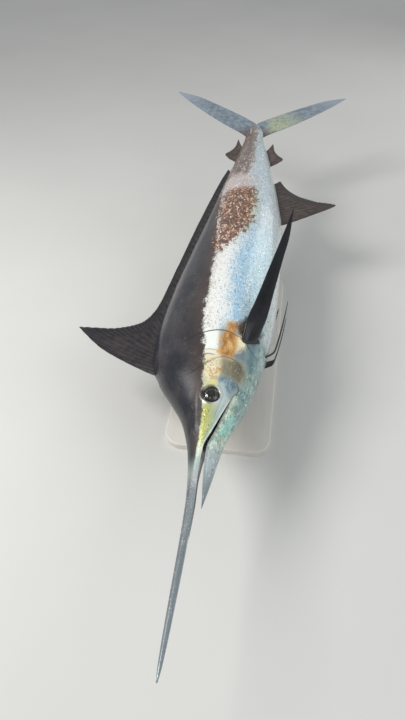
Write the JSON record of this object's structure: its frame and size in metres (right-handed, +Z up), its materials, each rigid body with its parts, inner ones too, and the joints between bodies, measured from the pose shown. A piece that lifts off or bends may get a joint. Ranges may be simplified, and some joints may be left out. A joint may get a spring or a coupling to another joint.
{
  "type": "blue marlin display model",
  "caption": "Life-size blue marlin with bill, crescent tail and raised pectoral fin, rolled on its side and held by rods on a flat display base.",
  "frame": {"origin": "centre of the stand base's underside, on the floor", "axes": "+Y from the bill to the tail, +X towards the fish's belly, +Z up, which is the fish's left side"},
  "size_m": [1.1079, 3.431, 0.7195],
  "materials": {
    "skin": "wet gloss: dark bronze back, silver and pale blue flank, copper patches",
    "fin": "wet, dark brown to black, fine rays",
    "bill": "grey, slightly rough, paler along its edges",
    "eye": "clear cornea over a dark iris and a large pupil",
    "board": "satin paint, pale warm grey",
    "steel": "brushed along the rod"
  },
  "bodies": {
    "root": {"bill": "bill", "head": "skin", "lower_jaw": "skin", "gill_cover_left": "skin", "gill_cover_right": "skin", "eye_left": "eye", "eye_right": "eye", "shoulder": "skin", "trunk_middle": "skin", "trunk_rear": "skin", "tail_stock": "skin", "first_dorsal_lobe": "fin", "first_dorsal_rear": "fin", "second_dorsal_fin": "fin", "first_anal_fin": "fin", "second_anal_fin": "fin", "pectoral_fin_left": "fin", "pectoral_fin_right": "fin", "pelvic_fin_left": "fin", "pelvic_fin_right": "fin", "tail_fin_upper_lobe": "fin", "tail_fin_lower_lobe": "fin", "stand_base": "board", "stand_flange_front": "steel", "stand_flange_rear": "steel", "stand_rod_front": "steel", "stand_rod_rear": "steel"}
  },
  "joints": []
}
